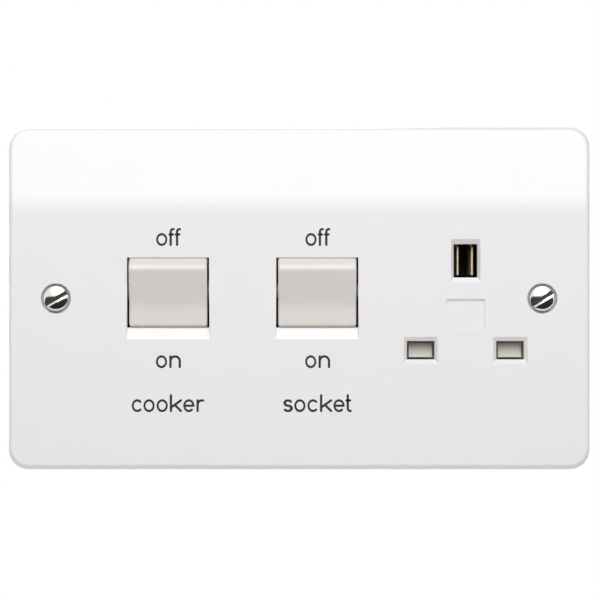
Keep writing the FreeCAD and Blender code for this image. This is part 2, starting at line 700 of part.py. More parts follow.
def cooker_bracket(x, terminal):
    """The fulcrum of a cooker pole and the strip from it down to the load terminal."""
    wide = HEAD_W / 2
    half = STRIP_W / 2
    high = PIVOT_Z + EAR_H / 2 + HEAD_OVER
    neck = PIVOT_Z - EAR_H / 2 - HEAD_OVER
    low = LOAD_TANG_Z - TANG_W
    outline = [
        (x - half, low), (x + half, low), (x + half, neck), (x + wide, neck),
        (x + wide, high), (x - wide, high), (x - wide, neck), (x - half, neck),
    ]
    strip = with_tang_holes(sheet(outline, strip_span()), [terminal])
    return fused([strip] + fulcrum_ears(x))


def outlet_strap(x, run_z, pin_x):
    """The fulcrum of a socket pole and the strap from it along to the back of a pin contact."""
    wide = HEAD_W / 2
    half = STRIP_W / 2
    high = PIVOT_Z + EAR_H / 2 + HEAD_OVER
    neck = PIVOT_Z - EAR_H / 2 - HEAD_OVER
    low = run_z - RUN_H
    pin_high = LINE_PINS_Z + LINE_PIN_H / 2 + CLIP_T
    outline = [
        (x - half, low), (pin_x + half, low), (pin_x + half, pin_high), (pin_x - half, pin_high),
        (pin_x - half, run_z), (x + half, run_z), (x + half, neck), (x + wide, neck),
        (x + wide, high), (x - wide, high), (x - wide, neck), (x - half, neck),
    ]
    return fused([sheet(outline, strip_span())] + fulcrum_ears(x))


def earth_bar():
    """The earth strip behind both earth terminals, with an arm down to the earth contact."""
    half = STRIP_W / 2
    left = SUPPLY_EARTH_X - half
    high = EARTH_BAR_Z + half
    low = EARTH_BAR_Z - half
    right = SOCKET_X + half
    foot = earth_bridge_z()[0]
    outline = [
        (left, low), (SOCKET_X - half, low), (SOCKET_X - half, foot), (right, foot),
        (right, high), (left, high),
    ]
    return with_tang_holes(
        sheet(outline, strip_span()), ["supply_earth_terminal", "cooker_earth_terminal"]
    )


def earth_bridge_z():
    """The height of the fold that joins the two leaves of the earth contact."""
    low = EARTH_Z + EARTH_PIN_H / 2 + EARTH_CLIP_OVER
    return low, low + CLIP_T


def earth_contact():
    """Two upright leaves with rounded noses, joined over the pin, and a tab that lies on the earth bar."""
    nose = HOUSING_Y - EARTH_CLIP_LEAD
    nose_top = EARTH_Z + EARTH_SLOT[1] / 2 - EARTH_NOSE_DROP
    back = STRIP_Y - CLIP_T
    bridge = earth_bridge_z()
    low = EARTH_Z - EARTH_PIN_H / 2 + CLIP_PINCH
    inner = EARTH_CLIP_GAP / 2
    outer = inner + EARTH_CLIP_T
    outline = [
        (nose, low), (nose, nose_top), (HOUSING_Y, nose_top), (HOUSING_Y, bridge[1]),
        (back, bridge[1]), (back, low),
    ]
    pieces = [block(around(SOCKET_X, 2 * outer), (HOUSING_Y, STRIP_Y), bridge)]
    for side in (-1, 1):
        leaf = prism(outline, sorted((SOCKET_X + side * inner, SOCKET_X + side * outer)))
        lips = [edge for edge in leaf.Edges if edge.BoundBox.YMax < nose + EARTH_NOSE_R]
        upright = [edge for edge in lips if edge.BoundBox.ZLength > EARTH_CLIP_T]
        pieces.append(leaf.makeFillet(EARTH_NOSE_R, upright))
    tab = block(around(SOCKET_X, 2 * outer), (STRIP_Y - CLIP_T, STRIP_Y), (bridge[0], EARTH_BAR_Z))
    return fused(pieces + [tab])


def line_contact(x):
    """A folded clip for a live or neutral pin: a back on the strap and two leaves with flared noses."""
    nose = HOUSING_Y - LINE_CLIP_LEAD
    back = STRIP_Y
    throat = nose + 3 * CLIP_FLARE
    grip = LINE_PIN_H / 2 - CLIP_PINCH / 2
    open_half = LINE_PIN_H / 2 + CLIP_FLARE
    root = LINE_PIN_H / 2 + LINE_CLIP_ROOM
    outline = [
        (nose, open_half), (throat, grip), (back - CLIP_T, root), (back - CLIP_T, -root),
        (throat, -grip), (nose, -open_half), (nose, -open_half - CLIP_T), (throat, -grip - CLIP_T),
        (back, -root - CLIP_T), (back, root + CLIP_T), (throat, grip + CLIP_T), (nose, open_half + CLIP_T),
    ]
    return prism([(y, LINE_PINS_Z + z) for y, z in outline], around(x, LINE_CLIP_W))


def shutter_ramp(x):
    """The wedge that a pin pushes aside, standing free in its recess in the shutter."""
    low, high = around(LINE_PINS_Z, LINE_SLOT[1] - 2 * RAMP_SPACE)
    root_y = SHUTTER_BACK - SHUTTER_FLOOR / 2
    outline = [(SHUTTER_Y, low), (SHUTTER_Y + RAMP_RISE, high), (root_y, high), (root_y, low)]
    return prism(outline, around(x, LINE_SLOT[0] - 2 * RAMP_SPACE))


def shutter():
    """The slider that covers both line slots, with a ramp for each pin and a window for its spring."""
    half = SHUTTER_W / 2
    tab_half = SHUTTER_WINDOW / 2 + 2 * GUIDE_T
    high = SHUTTER_HIGH + SHUTTER_TAB_UP
    window = SHUTTER_WINDOW / 2
    roof = high - SHUTTER_ROOF
    outline = [
        (-half, SHUTTER_LOW), (-window, SHUTTER_LOW), (-window, roof), (window, roof),
        (window, SHUTTER_LOW), (half, SHUTTER_LOW), (half, SHUTTER_HIGH), (tab_half, SHUTTER_HIGH),
        (tab_half, high), (-tab_half, high), (-tab_half, SHUTTER_HIGH), (-half, SHUTTER_HIGH),
    ]
    slider = sheet([(SOCKET_X + x, z) for x, z in outline], (SHUTTER_Y, SHUTTER_BACK))
    recess_y = (SHUTTER_Y - OVERCUT, SHUTTER_BACK - SHUTTER_FLOOR)
    recess_z = (SHUTTER_LOW + SHUTTER_COVER, SHUTTER_HIGH + OVERCUT)
    ramps = []
    for x in (NEUTRAL_PIN_X, LIVE_PIN_X):
        slider = slider.cut(block(around(x, LINE_SLOT[0]), recess_y, recess_z))
        ramps.append(shutter_ramp(x))
    return fused([slider] + ramps)


def shutter_spring():
    """The spring between the ledge on the plate and the roof of the shutter's window."""
    roof = SHUTTER_HIGH + SHUTTER_TAB_UP - SHUTTER_ROOF
    start = V(SOCKET_X, (SHUTTER_Y + SHUTTER_BACK) / 2, LEDGE_Z + SPRING_SLACK)
    length = roof - LEDGE_Z - 2 * SPRING_SLACK
    return spring(SHUTTER_SPRING_R, SPRING_WIRE, SHUTTER_SPRING_TURNS, start, V(0, 0, 1), length)


def terminal_span(end):
    """The height of a terminal at the top (1) or the bottom (-1) of the housing."""
    return sorted((end * TERMINAL_END_Z, end * (TERMINAL_END_Z - TERMINAL_L)))


def clamp_z(end):
    """The height of the clamp screw in a terminal."""
    return end * (TERMINAL_END_Z - TERMINAL_L / 2)


def terminal(x, end, tang_z):
    """A brass block with a cable bore, a tapped hole and a tang that is staked to its strip."""
    span = terminal_span(end)
    body = block(around(x, TERMINAL_W), (BLOCK_Y, REAR_Y), span)
    tang = block(around(x, TANG_W), (STRIP_Y, BLOCK_Y + ROOT), around(tang_z, TANG_W))
    bore_l = TERMINAL_L + 2 * OVERCUT
    bore = Part.makeCylinder(CABLE_BORE_R, bore_l, V(x, CABLE_Y, span[0] - OVERCUT))
    tapped = rod(CLAMP_R + RUN_FIT, x, clamp_z(end), (CABLE_Y, REAR_Y + OVERCUT))
    return fused([body, tang]).cut(Part.makeCompound([bore, tapped])).removeSplitter()


def clamp_screws():
    """The slotted screws of all the terminals, backed out clear of the cable bores."""
    screws = []
    tip_y = CABLE_Y + CABLE_BORE_R + CLAMP_BACKED_OUT
    end_y = tip_y + CLAMP_L
    for x, end, _ in TERMINALS.values():
        z = clamp_z(end)
        slot_y = (end_y - CLAMP_SLOT_DEPTH, end_y + OVERCUT)
        slot = block(around(x, 3 * CLAMP_R), slot_y, around(z, CLAMP_SLOT))
        screws.append(rod(CLAMP_R, x, z, (tip_y, end_y)).cut(slot))
    return Part.makeCompound(screws)


def housing_screws():
    """Cheese-head screws from the back of the housing into the plate's bosses."""
    screws = []
    end_y = BLOCK_Y + SCREW_HEAD_H
    for x, z in SCREW_PLACES:
        shank = rod(SCREW_R, x, z, (HOUSING_Y - SCREW_GRIP, BLOCK_Y))
        head = rod(SCREW_HEAD_R, x, z, (BLOCK_Y, end_y))
        slot_y = (end_y - SCREW_HEAD_H / 2, end_y + OVERCUT)
        slot = block(around(x, 3 * SCREW_HEAD_R), slot_y, around(z, SCREW_SLOT))
        screws.append(fused([shank, head]).cut(slot))
    return Part.makeCompound(screws)


def housing_tray():
    """The tray, open to the front, notched on the right for the lug of the wall box."""
    half = HOUSING_H / 2
    middle = (HOUSING_LEFT + HOUSING_RIGHT) / 2
    width = HOUSING_RIGHT - HOUSING_LEFT
    outline = rounded_wire(middle, 0, width, HOUSING_H, HOUSING_CORNER_R, HOUSING_Y)
    tray = Part.Face(outline).extrude(V(0, BLOCK_Y - HOUSING_Y, 0))
    deep = (HOUSING_Y - OVERCUT, BLOCK_Y + OVERCUT)
    tray = tray.cut(block((LUG_NOTCH_X, HOUSING_RIGHT + OVERCUT), deep, around(0, LUG_NOTCH_H)))
    hollow_x = (HOUSING_LEFT + HOUSING_WALL, HOUSING_RIGHT - HOUSING_WALL)
    hollow_z = (HOUSING_WALL - half, half - HOUSING_WALL)
    hollow = block(hollow_x, (HOUSING_Y - OVERCUT, SHELF_Y), hollow_z)
    notch_wall = block(
        (LUG_NOTCH_X - HOUSING_WALL, HOUSING_RIGHT), deep, around(0, LUG_NOTCH_H + 2 * HOUSING_WALL)
    )
    return tray.cut(hollow.cut(notch_wall))


def keeper_rib(x):
    """An inner wall beside a rocker with a nib that closes the slot of a bearing cheek."""
    thick = CHEEK_T - 2 * CHEEK_GAP
    low = NEUTRAL_RUN_Z + KEEPER_SPACE
    high = RAIL_LOW_Z - KEEPER_SPACE
    wall = block(around(x, thick), (HOUSING_Y, SHELF_Y), (low, high))
    nib_y = (PIVOT_Y + TRUNNION_R + 3 * RUN_FIT, HOUSING_Y)
    nib = block(around(x, thick), nib_y, around(PIVOT_Z, 2 * TRUNNION_R - 2 * RUN_FIT))
    return [wall, nib]


def housing_ribs():
    """The inner walls: beside the rockers, between the poles and rails, and behind the shutter."""
    ribs = []
    for x in (COOKER_X, OUTLET_X):
        ribs += keeper_rib(x - CHEEK_X) + keeper_rib(x + CHEEK_X)
    low_y = (CONTACT_Y, SHELF_Y)
    below_ears = PIVOT_Z - EAR_H / 2 - 2 * HEAD_OVER
    ribs.append(block(around(COOKER_X, RIB_T), low_y, (HOUSING_WALL / 2 - HOUSING_H / 2, below_ears)))
    ribs.append(block(around(OUTLET_X, RIB_T), low_y, (NEUTRAL_RUN_Z - RUN_H, below_ears)))
    rail_gap = RAIL_HIGH_Z - RAIL_SPACE / 2
    between_legs = (COOKER_NEUTRAL_X + STRIP_W, OUTLET_NEUTRAL_X - STRIP_W)
    ribs.append(block(between_legs, low_y, around(rail_gap, RIB_T)))
    earth_wall = (OUTLET_NEUTRAL_X + SUPPLY_EARTH_X) / 2
    ribs.append(block(around(earth_wall, RIB_T), low_y, (RAIL_LOW_Z, HOUSING_H / 2 - HOUSING_WALL / 2)))
    for side in (-1, 1):
        rail_x = SOCKET_X + side * SHUTTER_WINDOW
        rail_y = (SHUTTER_BACK + SHUTTER_FIT, SHELF_Y)
        ribs.append(block(around(rail_x, RIB_T), rail_y, (LEDGE_Z, SHUTTER_HIGH)))
    return ribs


def rear_housing():
    """The tray with its ribs, screw tubes and terminal shrouds."""
    added = housing_ribs()
    cuts = []
    for x, z in SCREW_PLACES:
        added.append(block(around(x, TUBE_W), (HOUSING_Y, BLOCK_Y), around(z, TUBE_W)))
        cuts.append(rod(SCREW_R + 2 * RUN_FIT, x, z, (HOUSING_Y - OVERCUT, BLOCK_Y + OVERCUT)))
    pocket_w = TERMINAL_W + 2 * SHROUD_GAP
    tang_w = TANG_W + 4 * TANG_FIT
    for x, end, tang_z in TERMINALS.values():
        inner = end * (TERMINAL_END_Z - TERMINAL_L - SHROUD_GAP)
        back = inner - end * SHROUD_WALL
        outer = end * HOUSING_H / 2
        shroud_x = around(x, pocket_w + 2 * SHROUD_WALL)
        added.append(block(shroud_x, (SHELF_Y, REAR_Y), sorted((back, outer))))
        cuts.append(block(around(x, pocket_w), (BLOCK_Y, REAR_Y + OVERCUT), sorted((inner, 2 * outer))))
        tang_y = (SHELF_Y - OVERCUT, BLOCK_Y + OVERCUT)
        cuts.append(block(around(x, tang_w), tang_y, around(tang_z, tang_w)))
    return housing_tray().multiFuse(added).cut(Part.makeCompound(cuts)).removeSplitter()


def all_pieces():
    """Every piece by name."""
    pieces = {
        "front_plate": front_plate(),
        "rear_housing": rear_housing(),
        "fixing_screws": fixing_screws(),
        "housing_screws": housing_screws(),
        "cooker_rocker": rocker(COOKER_X),
        "outlet_rocker": rocker(OUTLET_X),
        "cooker_moving_tips": moving_tips((COOKER_NEUTRAL_X, COOKER_LIVE_X)),
        "outlet_moving_tips": moving_tips((OUTLET_LIVE_X, OUTLET_NEUTRAL_X)),
        "fixed_contact_tips": fixed_tips(),
        "supply_live_rail": live_rail(),
        "supply_neutral_rail": neutral_rail(),
        "cooker_neutral_bracket": cooker_bracket(COOKER_NEUTRAL_X, "cooker_neutral_terminal"),
        "cooker_live_bracket": cooker_bracket(COOKER_LIVE_X, "cooker_live_terminal"),
        "outlet_live_strap": outlet_strap(OUTLET_LIVE_X, LIVE_RUN_Z, LIVE_PIN_X),
        "outlet_neutral_strap": outlet_strap(OUTLET_NEUTRAL_X, NEUTRAL_RUN_Z, NEUTRAL_PIN_X),
        "earth_bar": earth_bar(),
        "live_pin_contact": line_contact(LIVE_PIN_X),
        "neutral_pin_contact": line_contact(NEUTRAL_PIN_X),
        "earth_pin_contact": earth_contact(),
        "shutter": shutter(),
        "shutter_spring": shutter_spring(),
        "clamp_screws": clamp_screws(),
    }
    for name, (x, end, tang_z) in TERMINALS.items():
        pieces[name] = terminal(x, end, tang_z)
    for name, x in POLES.items():
        pieces[name + "_plunger"] = plunger(x)
        pieces[name + "_spring"] = plunger_spring(x)
        pieces[name + "_contact"] = rocking_contact(x)
    return pieces


os.makedirs("parts", exist_ok=True)
for piece_name, piece in all_pieces().items():
    piece.exportStep("parts/" + piece_name + ".step")
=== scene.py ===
"""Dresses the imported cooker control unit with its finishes, lettering, springs, screws and a studio."""

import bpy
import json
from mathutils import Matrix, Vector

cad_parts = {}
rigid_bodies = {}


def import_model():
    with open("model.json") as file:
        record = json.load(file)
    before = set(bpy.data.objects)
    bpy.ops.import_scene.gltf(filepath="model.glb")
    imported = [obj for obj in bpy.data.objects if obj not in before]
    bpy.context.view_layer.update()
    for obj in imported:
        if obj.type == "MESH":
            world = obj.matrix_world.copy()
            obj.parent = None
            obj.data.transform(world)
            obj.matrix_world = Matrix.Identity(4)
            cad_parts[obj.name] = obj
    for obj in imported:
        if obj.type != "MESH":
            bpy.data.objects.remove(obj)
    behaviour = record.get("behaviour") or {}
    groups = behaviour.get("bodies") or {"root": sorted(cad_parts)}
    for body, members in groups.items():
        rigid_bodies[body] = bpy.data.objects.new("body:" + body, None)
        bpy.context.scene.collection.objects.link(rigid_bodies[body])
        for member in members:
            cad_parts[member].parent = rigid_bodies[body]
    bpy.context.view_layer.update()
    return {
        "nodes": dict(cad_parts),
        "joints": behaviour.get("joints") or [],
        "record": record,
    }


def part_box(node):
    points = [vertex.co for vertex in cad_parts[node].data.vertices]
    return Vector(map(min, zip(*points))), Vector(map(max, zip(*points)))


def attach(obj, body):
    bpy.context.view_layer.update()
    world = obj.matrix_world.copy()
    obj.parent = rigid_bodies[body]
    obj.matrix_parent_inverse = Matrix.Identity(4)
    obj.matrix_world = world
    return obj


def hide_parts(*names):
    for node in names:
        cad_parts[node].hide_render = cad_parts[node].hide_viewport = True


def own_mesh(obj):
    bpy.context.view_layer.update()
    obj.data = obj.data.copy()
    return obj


bl_info = {
    "name": "Cooker control unit",
    "version": (1, 0, 0),
    "blender": (4, 5, 0),
    "location": "3D View > Sidebar > Cooker unit",
    "description": "Finishes, lettering, springs, screws and a studio for a flush cooker control unit",
    "category": "Object",
}

import json
import math

import bmesh
import bpy
from bpy.props import FloatProperty, FloatVectorProperty, PointerProperty
from mathutils import Matrix, Vector

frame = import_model()

MM = 0.001
NEAR = 0.002 * MM
SAME_SPOT = 0.0005 * MM
SMOOTH_BELOW = math.radians(40)

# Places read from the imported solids
FRONT_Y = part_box("front_plate")[0].y
ROCKER_X = {
    name: (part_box(name)[0].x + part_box(name)[1].x) / 2 for name in ("cooker_rocker", "outlet_rocker")
}
BOX_SCREWS = [mount for mount in frame["record"]["mounts"] if mount["name"] == "box_screws"][0]["dims"]
FIXING_X = BOX_SCREWS["spacing_x_mm"] * MM / 2
SHANK_R = BOX_SCREWS["stud_r_mm"] * MM
SHANK_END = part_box("fixing_screws")[1].y
HEAD_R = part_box("fixing_screws")[1].x - FIXING_X
HEAD_RISE = FRONT_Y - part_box("fixing_screws")[0].y

# The housing's back, and how far the terminals stand out of it
TERMINAL_STAND = 10.5 * MM
BACK_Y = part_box("supply_live_terminal")[1].y - TERMINAL_STAND

# Fixing screws: rim, land and neck as in the solids, then the slot, its worn lip and the thread
HEAD_EDGE, HEAD_LAND = 0.08 * MM, 1.4 * MM
NECK_R = 1.5 * MM
DOME_STEPS = 8
LATHE_STEPS = 48
SLOT_W, SLOT_DEPTH = 1.0 * MM, 1.2 * MM
SLOT_TURNS = {-1: math.radians(30), 1: math.radians(33)}
LIP_W, LIP_TILT = 0.42 * MM, math.radians(36)
THREAD_ROOT = 0.1
THREAD_LOW, THREAD_HIGH = 0.04, 0.96

# Steps of a full turn of thread or spring, and sides of a spring's wire
TURN_STEPS = 24
WIRE_SIDES = 12

# The pen's round ends, the degrees in a step of its curves, and how its strokes differ in thickness
DOT_SIDES = 20
ARC_STEP = 9
LAYERS, LAYER_STEP = 5, 0.02

# Lettering: a round letter's width to its height, the words' base lines and their letters' spacing
BOWL = 0.865
OFF_BASE, ON_BASE, LABEL_BASE = 13.0 * MM, -17.3 * MM, -28.2 * MM
WORD_SHIFT = 0.1 * MM
LABELS = {"cooker_rocker": "cooker", "outlet_rocker": "socket"}
GAPS_MM = {
    "off": (0.4, 0.25),
    "on": (0.55,),
    "cooker": (0.3, 0.5, 0.5, 0.3, 0.5),
    "socket": (0.4, 0.5, 0.5, 0.3, 0.3),
}

# Finishes: sizes of cloudiness and of dull patches, and how much of a metal is dull
CLOUD_SIZE, PATCH_SIZE = 22 * MM, 4 * MM
DULL_FROM, DULL_FULL, DULL_SHARE = 0.52, 0.8, 0.55
STREAK_DEPTH = 0.01 * MM

# Studio, in metres: floor, fill light, dark flag and lens
FLOOR_HALF, FLOOR_PLACE = 1.2, (0, -0.8, -0.12)
FLOOR_LIFT, FADE_START, FADE_END = 0.75, 0.15, 0.40
BRUSH_SIZE = 40 * MM
FILL_LIGHT = 0.17
FLAG_TOP, FLAG_FOOT, FLAG_W = Vector((0, -0.45, 0.06)), Vector((0, -0.125, -0.115)), 0.86
PHOTO_PX, FOCAL_PX = 600, 2763
LENS_PLACE = (0.22 * MM, -0.695, -0.4 * MM)


def linear(code):
    """A six-digit sRGB hex colour as linear red, green and blue."""
    shares = [int(code[i:i + 2], 16) / 255 for i in (0, 2, 4)]
    return tuple(c / 12.92 if c <= 0.04045 else ((c + 0.055) / 1.055) ** 2.4 for c in shares)


def colour(name, description, code):
    """A colour that a user may change."""
    return FloatVectorProperty(
        name=name, description=description, subtype="COLOR", size=3, min=0, max=1, default=linear(code)
    )


def length(name, description, millimetres):
    """A length that a user may change."""
    return FloatProperty(
        name=name, description=description, unit="LENGTH", subtype="DISTANCE", precision=5,
        default=millimetres * MM,
    )


class UnitSizes(bpy.types.PropertyGroup):
    """Sizes of what is added to the solids"""

    x_height: length("Letter height", "Height of a small letter with no stem", 3.2)
    stem_height: length("Stem height", "Height of the letters k, f and t", 4.45)
    stroke: length("Stroke", "Width of the pen that draws a letter", 0.58)
    ink_film: length("Ink film", "How far the print stands off the plate", 0.02)
    mark_height: length("Mark height", "Height of a moulded mark on the back", 3.4)
    mark_stroke: length("Mark stroke", "Width of the strokes of a moulded mark", 0.6)
    mark_rise: length("Mark rise", "How far a moulded mark stands off the back", 0.25)
    mark_space: length("Mark space", "Room between a terminal and its mark", 2.2)
    thread_pitch: length("Thread pitch", "Pitch of the fixing screws", 0.6)
    thread_depth: length("Thread depth", "Depth of the fixing screws' thread", 0.33)
    spring_wire: length("Spring wire", "Thickness of the springs' wire", 0.45)
    spring_radius: length("Spring radius", "Radius at the middle of the springs' wire", 1.5)
    spring_pitch: length("Spring pitch", "Pitch of the springs' open turns", 1.5)


class UnitColours(bpy.types.PropertyGroup):
    """Colours of the finishes"""

    plate: colour("Plate", "White urea moulding of the plate", "EDEDEE")
    # The rockers' colour is the plate's white made greyer and warmer: painted shade and painted warm bounce
    # light on their faces.
    rocker: colour("Rockers", "White moulding of the rockers", "DEDAD6")
    housing: colour("Housing", "Black moulding of the rear housing", "2B2B2C")
    nylon: colour("Nylon", "Natural nylon of shutter and plungers", "CDC9C0")
    ink: colour("Ink", "Dark grey print", "222222")
    brass: colour("Brass", "Stamped and drawn brass", "D9B46A")
    tarnish: colour("Tarnish", "Dull patches on the brass", "9A7440")
    # Pin contact brass, raised to a near white: a painted reflection of bright surroundings on the contacts
    # deep in the slots.
    contact_brass_painted_reflection: colour("Wiped brass", "Pin contacts, wiped clean by the pins", "F7EBC8")
    nickel: colour("Nickel", "Bright plate of the fixing screws", "E6E3DD")
    zinc: colour("Zinc", "Clear zinc plate of the hidden screws", "C3C7CA")
    silver: colour("Silver", "Contact tips", "E9E7E1")
    wire: colour("Wire", "Drawn spring wire", "8A8A8C")
    floor: colour("Floor", "Pale floor of the studio", "EDE8E5")


def socket(sockets, key):
    """A node's socket by its place, its identifier or its name, or None."""
    if isinstance(key, int):
        return sockets[key]
    return next((s for s in sockets if s.identifier == key), sockets.get(key))


def add_node(tree, kind, settings=None, sources=None):
    """Adds a node, gives it its settings, and links what feeds it."""
    made = tree.nodes.new(kind)
    for key, value in (settings or {}).items():
        found = socket(made.inputs, key)
        if found is not None:
            found.default_value = value
        else:
            setattr(made, key, value)
    for key, source in (sources or {}).items():
        tree.links.new(source, socket(made.inputs, key))
    return made


def dulled(shade, share):
    """A colour made darker by a share."""
    return tuple(c * share for c in shade)


def rgba(shade, share=1.0):
    """A colour for a socket, which may be made darker."""
    return dulled(shade, share) + (1.0,)


def new_material(name):
    """An empty node material and its tree, with Object coordinates and an output."""
    material = bpy.data.materials.new(name)
    material.use_nodes = True
    tree = material.node_tree
    tree.nodes.clear()
    place = add_node(tree, "ShaderNodeTexCoord").outputs["Object"]
    output = add_node(tree, "ShaderNodeOutputMaterial")
    return material, tree, place, output


def moulded(name, shade, ior, roughness, spread, grain_mm, grain_depth_mm, mottle=0.97):
    """A moulded plastic: a faint cloudiness of colour, and a fine grain in gloss and height."""
    material, tree, place, output = new_material(name)
    cloud = add_node(
        tree, "ShaderNodeTexNoise", {"Scale": 1 / CLOUD_SIZE, "Detail": 3.0}, {"Vector": place}
    )
    tint = add_node(
        tree, "ShaderNodeMix",
        {"data_type": "RGBA", "A_Color": rgba(shade, mottle), "B_Color": rgba(shade)},
        {"Factor_Float": cloud.outputs["Fac"]},
    )
    grain = add_node(
        tree, "ShaderNodeTexNoise", {"Scale": 1 / (grain_mm * MM), "Detail": 2.0}, {"Vector": place}
    )
    gloss = add_node(
        tree, "ShaderNodeMapRange",
        {"To Min": roughness - spread, "To Max": roughness + spread}, {"Value": grain.outputs["Fac"]},
    )
    height = add_node(
        tree, "ShaderNodeBump", {"Strength": 1.0, "Distance": grain_depth_mm * MM},
        {"Height": grain.outputs["Fac"]},
    )
    shader = add_node(
        tree, "ShaderNodeBsdfPrincipled", {"IOR": ior},
        {
            "Base Color": socket(tint.outputs, "Result_Color"),
            "Roughness": gloss.outputs["Result"],
            "Normal": height.outputs["Normal"],
        },
    )
    tree.links.new(shader.outputs["BSDF"], output.inputs["Surface"])
    return material


def metal(name, shade, dull, roughness, spread, streak_mm, stretch):
    """A metal: streaks of drawing, stamping or plating in its gloss, and dull patches in its colour."""
    material, tree, place, output = new_material(name)
    drawn = add_node(tree, "ShaderNodeMapping", {"Scale": stretch}, {"Vector": place})
    streaks = add_node(
        tree, "ShaderNodeTexNoise", {"Scale": 1 / (streak_mm * MM), "Detail": 4.0},
        {"Vector": drawn.outputs["Vector"]},
    )
    patches = add_node(
        tree, "ShaderNodeTexNoise", {"Scale": 1 / PATCH_SIZE, "Detail": 5.0}, {"Vector": place}
    )
    share = add_node(
        tree, "ShaderNodeMapRange",
        {"From Min": DULL_FROM, "From Max": DULL_FULL, "To Max": DULL_SHARE},
        {"Value": patches.outputs["Fac"]},
    )
    tint = add_node(
        tree, "ShaderNodeMix", {"data_type": "RGBA", "A_Color": rgba(shade), "B_Color": rgba(dull)},
        {"Factor_Float": share.outputs["Result"]},
    )
    gloss = add_node(
        tree, "ShaderNodeMapRange",
        {"To Min": roughness - spread, "To Max": roughness + spread}, {"Value": streaks.outputs["Fac"]},
    )
    height = add_node(
        tree, "ShaderNodeBump", {"Strength": 0.6, "Distance": STREAK_DEPTH},
        {"Height": streaks.outputs["Fac"]},
    )
    shader = add_node(
        tree, "ShaderNodeBsdfPrincipled", {"Metallic": 1.0},
        {
            "Base Color": socket(tint.outputs, "Result_Color"),
            "Roughness": gloss.outputs["Result"],
            "Normal": height.outputs["Normal"],
        },
    )
    tree.links.new(shader.outputs["BSDF"], output.inputs["Surface"])
    return material


def wear(node_name, material):
    """Gives a carried-over solid its finish."""
    slots = frame["nodes"][node_name].data.materials
    slots.clear()
    slots.append(material)


def placed(name, mesh, material, body):
    """A finished piece at the origin that moves with a body."""
    piece = bpy.data.objects.new(name, mesh)
    bpy.context.scene.collection.objects.link(piece)
    piece.data.materials.append(material)
    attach(piece, body)
    return piece


def finished_mesh(name, bm):
    """Merges doubles, turns faces outwards and makes a mesh, smooth except across sharp edges."""
    bmesh.ops.remove_doubles(bm, verts=bm.verts, dist=SAME_SPOT)
    bmesh.ops.recalc_face_normals(bm, faces=bm.faces)
    for face in bm.faces:
        face.smooth = True
    for edge in bm.edges:
        edge.smooth = len(edge.link_faces) != 2 or edge.calc_face_angle(0) < SMOOTH_BELOW
    mesh = bpy.data.meshes.new(name)
    bm.to_mesh(mesh)
    bm.free()
    return mesh


class Pen:
    """A round pen in the plane at y: straight strokes are extruded, curves spun, and all raised by rise."""

    def __init__(self, y, width, rise):
        self.bm = bmesh.new()
        self.y = y
        self.half = width / 2
        self.rise = rise
        self.strokes = 0
        self.spots = set()

    def thicken(self, faces):
        """Gives a stroke its thickness, each a hair more than the last, so that none lie in one plane."""
        self.strokes += 1
        depth = self.rise * (1 + LAYER_STEP * (self.strokes % LAYERS))
        raised = bmesh.ops.extrude_face_region(self.bm, geom=faces)
        top = [item for item in raised["geom"] if isinstance(item, bmesh.types.BMVert)]
        bmesh.ops.translate(self.bm, verts=top, vec=(0, depth, 0))

    def dot(self, x, z):
        """A round end or joint of a stroke, once at each spot and turned clear of strokes' corners."""
        spot = (round(x / NEAR), round(z / NEAR))
        if spot in self.spots:
            return
        self.spots.add(spot)
        turn = Matrix.Translation((x, self.y, z)) @ Matrix.Rotation(math.pi / 2, 4, "X")
        turn @= Matrix.Rotation(math.pi / DOT_SIDES, 4, "Z")
        made = bmesh.ops.create_circle(
            self.bm, cap_ends=True, radius=self.half, segments=DOT_SIDES, matrix=turn
        )
        faces = list({face for vert in made["verts"] for face in vert.link_faces})
        self.thicken(faces)

    def line(self, x0, z0, x1, z1):
        """A straight stroke with round ends."""
        along = Vector((x1 - x0, 0, z1 - z0))
        across = Vector((-along.z, 0, along.x)).normalized() * self.half
        start = Vector((x0, self.y, z0))
        ends = [self.bm.verts.new(start + across), self.bm.verts.new(start - across)]
        edge = self.bm.edges.new(ends)
        swept = bmesh.ops.extrude_edge_only(self.bm, edges=[edge])["geom"]
        moved = [item for item in swept if isinstance(item, bmesh.types.BMVert)]
        bmesh.ops.translate(self.bm, verts=moved, vec=along)
        self.thicken([item for item in swept if isinstance(item, bmesh.types.BMFace)])
        self.dot(x0, z0)
        self.dot(x1, z1)

    def arc(self, x, z, radius_x, radius_z, start, end, round_ends=True):
        """A curved stroke from one angle to another, measured from +X towards +Z, with round ends."""
        heading = Vector((math.cos(math.radians(start)), 0, math.sin(math.radians(start))))
        centre = Vector((x, self.y, z))
        ends = [self.bm.verts.new(centre + heading * (radius_z + side * self.half)) for side in (-1, 1)]
        edge = self.bm.edges.new(ends)
        sweep = math.radians(end - start)
        steps = max(3, round(abs(end - start) / ARC_STEP))
        whole = abs(end - start) >= 360
        before = set(self.bm.verts) - set(ends)
        known = set(self.bm.faces)
        bmesh.ops.spin(
            self.bm, geom=ends + [edge], cent=centre, axis=(0, -1, 0), angle=sweep, steps=steps,
            use_merge=whole,
        )
        swept = [vert for vert in self.bm.verts if vert not in before]
        squeeze = (radius_x / radius_z, 1, 1)
        bmesh.ops.scale(self.bm, verts=swept, vec=squeeze, space=Matrix.Translation(-centre))
        self.thicken([face for face in self.bm.faces if face not in known])
        if round_ends and not whole:
            for angle in (start, end):
                turn = math.radians(angle)
                self.dot(x + radius_x * math.cos(turn), z + radius_z * math.sin(turn))


